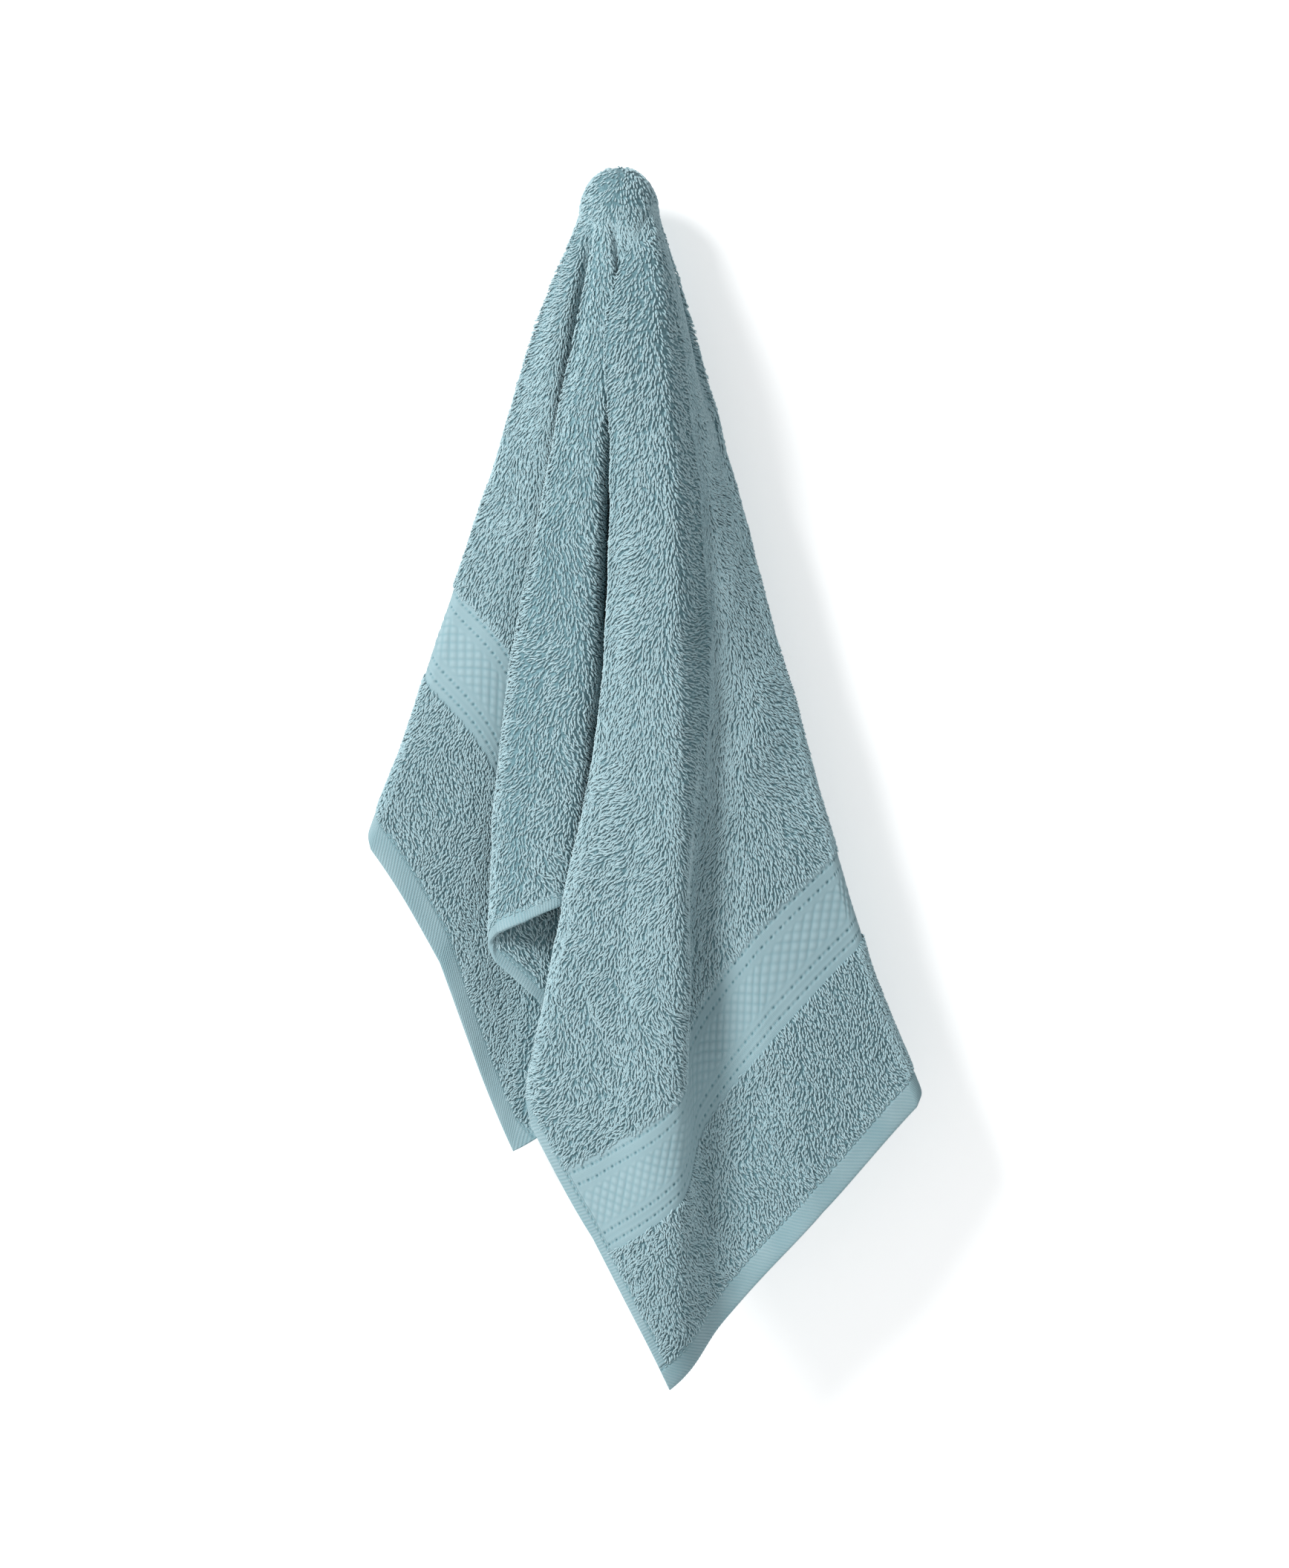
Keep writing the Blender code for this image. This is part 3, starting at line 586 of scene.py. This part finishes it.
def hem_relief(lo, hi, axis, seam, rib, lean):
    def f(a, b):
        x, y = ((a, b), (b, a))[axis]
        s = (x - lo)*1000
        h = 0.75*np.sin(2*math.pi*(y*1000 + lean*s)/rib + 0.9*noise(a/0.006, b/0.006, 2))
        h = h + 0.5*noise(a/0.011, b/0.011, 4)
        pin = 0.5 + 0.5*np.cos(2*math.pi*y*1000/3.2)
        # the seam groove and the ribs' hollows also darken the hem's colour through the relief attribute:
        # painted shade
        g = bell(x*1000, seam*1000, 0.75)
        return h*(1 - g) - g*(0.9 + 0.8*(1 - pin))
    return f


def stitches(name, line, count, side, mat, height):
    """A row of lockstitches: line(t) gives the flat place at t from 0 to 1."""
    t0 = (np.arange(count) + 0.5)/count
    length = np.linalg.norm(np.subtract(line(1.0), line(0.0)))
    half = 0.0012/length
    rings = []
    for k, (off, w, up) in enumerate(((-1.0, 0.10, -0.25), (-0.62, 0.30, 0.05), (0.0, 0.36, 0.20),
                                      (0.62, 0.30, 0.05), (1.0, 0.10, -0.25))):
        tt = t0 + off*half
        a = line(0)[0] + (line(1)[0] - line(0)[0])*tt
        b = line(0)[1] + (line(1)[1] - line(0)[1])*tt
        p, n, ta, tb = surface(a, b)
        along = ta if abs(line(1)[0] - line(0)[0]) > 1e-6 else tb
        cross = np.cross(n, along)
        c = p + n*(side*(height + up*0.001))
        ring = [c + (cross*math.cos(q) + n*math.sin(q)*0.8)*(w*0.001)
                for q in (math.pi/4 + k2*math.pi/2 for k2 in range(4))]
        rings.append(np.stack(ring, 1))
    v = np.stack(rings, 1)                       # count, 5, 4, 3
    faces = []
    for r in range(4):
        for c in range(4):
            faces.append([r*4 + c, r*4 + (c + 1) % 4, (r + 1)*4 + (c + 1) % 4, (r + 1)*4 + c])
    faces += [[3, 2, 1, 0], [16, 17, 18, 19]]
    faces = (np.array(faces)[None] + (np.arange(count)*20)[:, None, None]).reshape(-1, 4)
    verts = v.reshape(-1, 3)
    vi = np.arange(20)
    n_row = int(math.ceil(math.sqrt(count)))
    cell = np.stack([np.arange(count) % n_row, np.arange(count)//n_row], -1)
    local = np.stack([0.1 + 0.8*(vi % 4)/3.0, 0.1 + 0.8*(vi//4)/4.0], -1)
    uv = ((cell[:, None] + local[None])/n_row).reshape(-1, 2)
    flat = np.stack([np.repeat(t0*length, 20), np.tile((vi % 4)*0.0003, count)], -1)
    # painted shade at each stitch's ends, where the thread goes into the cloth, and painted light on its
    # crown: these values colour the thread through the relief attribute
    along = np.tile(np.array([0.25, 0.6, 0.9, 0.6, 0.25]).repeat(4), count)
    return make(name, verts, faces, mat, {"flat": flat[faces.ravel()], "OFBake": uv[faces.ravel()]},
                {"relief": along})


hems = []
SEAM = 0.0019
for end, sgn, edge in ENDS:
    lo, hi = sorted((edge, edge - sgn*END_HEM))
    seam = edge - sgn*(END_HEM - SEAM)
    ob = sheet_mesh("hem_" + end, np.linspace(A0, A1, 1100), np.linspace(lo, hi, 32),
                    hem_thick(lo, hi, 1), M_HEM, hem_relief(lo, hi, 1, seam, 1.9, 0.75), 0.00030)
    hems.append(place(ob, end + "_hem", slot="hem_weave"))
    for face, tag in ((1, "front"), (-1, "back")):
        st = stitches(f"stitches_{end}_{tag}", lambda t, s=seam: (A0 + 0.003 + t*(WIDTH - 0.006), s),
                      154, face, M_THREAD, 0.00125)
        hems.append(place(st, *((end + "_stitching",) if face == 1 else ()), slot="sewing_thread"))
for name, lo, hi, seam in (("near_side", H1, A1, H1 + SEAM), ("far_side", A0, H0, H0 - SEAM)):
    ob = sheet_mesh("hem_" + name, np.linspace(lo, hi, 19),
                    np.linspace(B0 + END_HEM, B1 - END_HEM, 1900),
                    hem_thick(lo, hi, 0), M_HEM, hem_relief(lo, hi, 0, seam, 1.7, 0.15), 0.00022)
    hems.append(place(ob, name + "_hem", slot="hem_weave"))
    for face, tag in ((1, "front"), (-1, "back")):
        st = stitches(f"stitches_{name}_{tag}",
                      lambda t, s=seam: (s, B0 + END_HEM + t*(LENGTH - 2*END_HEM)),
                      272, face, M_THREAD, 0.00125)
        hems.append(place(st, *((name + "_stitching",) if face == 1 else ()), slot="sewing_thread"))


# ---- terry loops ---------------------------------------------------------------
PITCH_A, PITCH_B = 0.00152, 0.00165


def loops(a, b, face, seed):
    """Loops rooted at flat places a, b on one face of the cloth (+1 room side).
    Returns rings of vertices (n, 3, 3, 3), the tips and a tone for each loop."""
    rs = np.random.RandomState(seed)
    n_ = len(a)
    p, n, ta, tb = surface(a, b)
    n = n*face
    r = np.maximum(np.hypot(a, b), 1e-4)
    down = ta*(a/r)[:, None] + tb*(b/r)[:, None]
    down /= np.maximum(np.linalg.norm(down, axis=1, keepdims=True), 1e-9)
    side = np.cross(n, down)
    side *= np.where(side[:, :1] < 0, -1.0, 1.0)
    curl = 0.55 + 0.75*np.clip((a - 0.16)/0.16, 0, 1)
    turn = (0.75*n[:, 0] + 0.60*noise(a/0.030, b/0.030, 0) + 0.50*curl*noise(a/0.0065, b/0.0065, 1)
            + 0.22*rs.randn(n_)*curl)
    flow = down*np.cos(turn)[:, None] + side*np.sin(turn)[:, None]
    cross = np.cross(n, flow)
    sq = squeeze(a, b)
    base = p + n*(GROUND_T/2*sq - 0.00030)[:, None]
    ends = np.where((b > B1 - BAND_FROM_END) | (b < B0 + BAND_FROM_END), 0.80, 1.0)
    ln = (0.0031 + 0.0014*rs.rand(n_))*(0.75 + 0.25*sq)*ends
    up = (0.00085 + 0.00040*rs.rand(n_))*(0.6 + 0.4*sq)
    bow = 0.00034*rs.randn(n_) + 0.0003*noise(a/0.004, b/0.004, 4)
    fat = 0.00045 + 0.00013*rs.rand(n_)
    rings = []
    for s, h, w, c in ((0.0, 0.0, 0.85, 0.0), (0.36, 0.92, 1.08, 0.7), (0.78, 0.95, 0.86, 1.0)):
        centre = base + flow*(s*ln)[:, None] + n*(h*up)[:, None] + cross*(c*bow)[:, None]
        ring = []
        for q in (0.5*math.pi, 0.5*math.pi + 2*math.pi/3, 0.5*math.pi + 4*math.pi/3):
            ring.append(centre + (cross*math.cos(q) + n*math.sin(q)*0.85)*(w*fat)[:, None])
        rings.append(np.stack(ring, 1))
    tip = base + flow*ln[:, None] + n*(0.55*up)[:, None] + cross*(0.5*bow)[:, None]
    return np.stack(rings, 1), tip, rs.rand(n_)


LOOP_FACES = []
for _r in range(2):
    for _c in range(3):
        LOOP_FACES.append([_r*3 + _c, _r*3 + (_c + 1) % 3, (_r + 1)*3 + (_c + 1) % 3, (_r + 1)*3 + _c])
LOOP_FACES = np.array(LOOP_FACES)


def loop_piece(name, a, b, face, seed):
    v, tip, tone = loops(a, b, face, seed)
    n_ = len(a)
    verts = np.concatenate([v.reshape(n_, 9, 3), tip[:, None]], 1).reshape(-1, 3)
    tris = np.array([[6, 7, 9], [7, 8, 9], [8, 6, 9]])
    me_f = (LOOP_FACES[None] + (np.arange(n_)*10)[:, None, None]).reshape(-1, 4)
    me_t = (tris[None] + (np.arange(n_)*10)[:, None, None]).reshape(-1, 3)
    me = bpy.data.meshes.new(name)
    me.vertices.add(len(verts))
    me.vertices.foreach_set("co", verts.astype(np.float32).ravel())
    me.loops.add(me_f.size + me_t.size)
    me.loops.foreach_set("vertex_index", np.concatenate([me_f.ravel(), me_t.ravel()]).astype(np.int32))
    me.polygons.add(len(me_f) + len(me_t))
    starts = np.concatenate([np.arange(0, me_f.size, 4), me_f.size + np.arange(0, me_t.size, 3)])
    me.polygons.foreach_set("loop_start", starts.astype(np.int32))
    me.update(calc_edges=True)
    vi = np.arange(10)
    ring = np.where(vi == 9, 1.0, np.array([0.0, 0.36, 0.78])[np.minimum(vi//3, 2)])
    col = np.where(vi == 9, 1.0, vi % 3)
    rows = int(math.ceil(math.sqrt(n_)))
    cell = np.stack([np.arange(n_) % rows, np.arange(n_)//rows], -1)
    local = np.stack([0.12 + 0.76*col/2.0, 0.10 + 0.80*ring], -1)
    uv = ((cell[:, None] + local[None])/rows).reshape(-1, 2)
    li = np.concatenate([me_f.ravel(), me_t.ravel()])
    lay = me.uv_layers.new(name="OFBake")
    lay.uv.foreach_set("vector", uv[li].astype(np.float32).ravel())
    at = me.attributes.new("along", "FLOAT", "POINT")
    at.data.foreach_set("value", np.tile(ring, n_).astype(np.float32))
    at = me.attributes.new("tone", "FLOAT", "POINT")
    at.data.foreach_set("value", np.repeat(tone, 10).astype(np.float32))
    me.polygons.foreach_set("use_smooth", np.ones(len(me.polygons), bool))
    me.materials.append(M_LOOP)
    me.validate(clean_customdata=False)
    ob = bpy.data.objects.new(name, me)
    bpy.context.scene.collection.objects.link(ob)
    return ob


def rows_of(lo_a, hi_a, lo_b, hi_b, pa=PITCH_A, pb=PITCH_B, seed=3):
    rs = np.random.RandomState(seed)
    a = np.arange(lo_a + pa/2, hi_a, pa)
    b = np.arange(lo_b + pb/2, hi_b, pb)
    ga, gb = np.meshgrid(a, b, indexing="ij")
    ga = ga + (np.arange(len(b)) % 2)[None]*pa/2
    ga = ga + (rs.rand(*ga.shape) - 0.5)*pa*0.75
    gb = gb + (rs.rand(*gb.shape) - 0.5)*pb*0.75
    a, b = ga.ravel(), gb.ravel()
    keep = (a > lo_a) & (a < hi_a) & (b > lo_b) & (b < hi_b)
    return a[keep], b[keep]


def hidden(a, b):
    """Cloth inside the front pleat, which the folds close over."""
    phi, r = np.degrees(np.arctan2(b, a)), np.hypot(a, b)
    return (phi > -11) & (phi < 35) & (r > 0.075)


jobs = []
for tag, lo, hi in (("main", F0, F1), ("long_end", B1 - BAND_FROM_END, B1 - END_HEM),
                    ("short_end", B0 + END_HEM, B0 + BAND_FROM_END)):
    over = {"main": (0, 0), "long_end": (0.0016, 0), "short_end": (0, 0.0016)}[tag]
    fine = 1.0 if tag == "main" else 0.86
    a, b = rows_of(H0 - 0.0006, H1 + 0.0006, lo - over[0], hi + over[1], PITCH_A*fine,
                   PITCH_B*fine, seed=len(tag))
    thin = hidden(a, b) & (np.random.RandomState(5).rand(len(a)) > 0.3)
    a, b = a[~thin], b[~thin]
    r = np.hypot(a, b)
    crowd = (r < 0.06) & (np.random.RandomState(6).rand(len(a)) > 0.35 + 0.65*r/0.06)
    a, b = a[~crowd], b[~crowd]
    # more of them where the folds open the weave
    a2, b2 = rows_of(H0, H1, lo, hi, seed=70 + len(tag))
    phi, r = np.degrees(np.arctan2(b2, a2)), np.hypot(a2, b2)
    open_ = np.maximum(bump01(phi, -30, -18, 2), bump01(phi, 48, 75, 4))*np.clip((0.24 - r)/0.12, 0, 1)
    extra = np.random.RandomState(8).rand(len(a2)) < 0.55*open_*(r > 0.03)
    a, b = np.concatenate([a, a2[extra]]), np.concatenate([b, b2[extra]])
    jobs.append((tag + "_front", a, b, 1))
    # the wall-side face shows only in the open fold and at the edges
    a, b = rows_of(H0, H1, lo, hi, PITCH_A*1.15, PITCH_B*1.15, seed=20 + len(tag))
    phi = np.degrees(np.arctan2(b, a))
    edge = (a > H1 - 0.075) & (phi > -48) & (phi < -14)
    edge |= (a > H1 - 0.03) | (a < H0 + 0.03)
    if tag != "main":
        edge |= True
    jobs.append((tag + "_back", a[edge], b[edge], -1))
for tag, a, b, face in jobs:
    order = np.argsort(b, kind="stable")
    a, b = a[order], b[order]
    n_piece = max(1, math.ceil(len(a)/13000))
    for k, part in enumerate(np.array_split(np.arange(len(a)), n_piece)):
        ob = loop_piece(f"loops_{tag}_{k + 1:02d}", a[part], b[part], face, 100 + k + 31*len(jobs))
        place(ob, slot="terry_pile")

# ---- floor, wall, light and camera -------------------------------------------
def plain(name, colour, rough=0.9):
    m = bpy.data.materials.new(name)
    m.use_nodes = True
    nt = m.node_tree
    b = next(x for x in nt.nodes if x.type == "BSDF_PRINCIPLED")
    b.inputs["Roughness"].default_value = rough
    n = node(nt, "ShaderNodeTexNoise", Scale=14.0, Detail=6.0)
    r = ramp(nt, [(0.3, tuple(c*0.97 for c in colour)), (0.7, colour)])
    nt.links.new(n.outputs["Fac"], r.inputs["Fac"])
    nt.links.new(r.outputs["Color"], b.inputs["Base Color"])
    return m, nt, b


def quad(name, pts, mat):
    me = bpy.data.meshes.new(name)
    me.from_pydata(pts, [], [(0, 1, 2, 3)])
    me.materials.append(mat)
    ob = bpy.data.objects.new(name, me)
    bpy.context.scene.collection.objects.link(ob)
    ob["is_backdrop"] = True
    return ob


WALL_Y, FLOOR_Z = 0.0325, -1.15
wall_mat, nt, b = plain("pale_wall", (0.86, 0.86, 0.855))
geo, tr, mix = (node(nt, "ShaderNodeNewGeometry"), node(nt, "ShaderNodeBsdfTransparent"),
                node(nt, "ShaderNodeMixShader"))
b.inputs["Emission Color"].default_value = (1, 1, 1, 1)
b.inputs["Emission Strength"].default_value = 0.37
out = next(x for x in nt.nodes if x.type == "OUTPUT_MATERIAL")
nt.links.new(geo.outputs["Backfacing"], mix.inputs[0])
nt.links.new(b.outputs[0], mix.inputs[1])
nt.links.new(tr.outputs[0], mix.inputs[2])
nt.links.new(mix.outputs[0], out.inputs["Surface"])
wall = quad("wall", [(-3, WALL_Y, FLOOR_Z), (3, WALL_Y, FLOOR_Z), (3, WALL_Y, 2), (-3, WALL_Y, 2)], wall_mat)
wall.visible_shadow = False
wall.visible_diffuse = False
floor_mat = plain("pale_floor", (0.84, 0.84, 0.835))[0]
floor = quad("floor", [(-4, -5, FLOOR_Z), (4, -5, FLOOR_Z), (4, 4, FLOOR_Z), (-4, 4, FLOOR_Z)], floor_mat)


def area_light(name, at, aim, size, power, colour=(1, 1, 1)):
    d = bpy.data.lights.new(name, "AREA")
    d.shape, d.size, d.energy, d.color = "DISK", size, power, colour
    ob = bpy.data.objects.new(name, d)
    bpy.context.scene.collection.objects.link(ob)
    ob.location = at
    ob.rotation_euler = (Vector(aim) - Vector(at)).to_track_quat("-Z", "Y").to_euler()
    return ob


area_light("key", (-2.3, -2.1, 1.5), (0, 0, -0.3), 1.3, 138)
area_light("fill", (2.4, -2.6, 0.2), (0, 0, -0.35), 2.4, 9)
area_light("behind", (0.3, 1.9, 0.5), (0, 0, -0.3), 2.0, 30)
world = bpy.context.scene.world or bpy.data.worlds.new("world")
bpy.context.scene.world = world
world.use_nodes = True
bg = next(x for x in world.node_tree.nodes if x.type == "BACKGROUND")
bg.inputs["Color"].default_value = (0.93, 0.965, 1.0, 1)
bg.inputs["Strength"].default_value = 0.42
bpy.context.scene.view_settings.view_transform = "Standard"

LENS, VIEW_H = 200.0, 2112*0.393e-3
cam = bpy.data.cameras.new("camera")
cam.lens, cam.sensor_width, cam.sensor_fit = LENS, 36.0, "AUTO"
co = bpy.data.objects.new("camera", cam)
bpy.context.scene.collection.objects.link(co)
co.location = (0.0134, -VIEW_H*LENS/36.0, -0.3258 + 0.0014)
co.rotation_euler = (math.pi/2, 0, 0)
bpy.context.scene.camera = co

lo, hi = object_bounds()
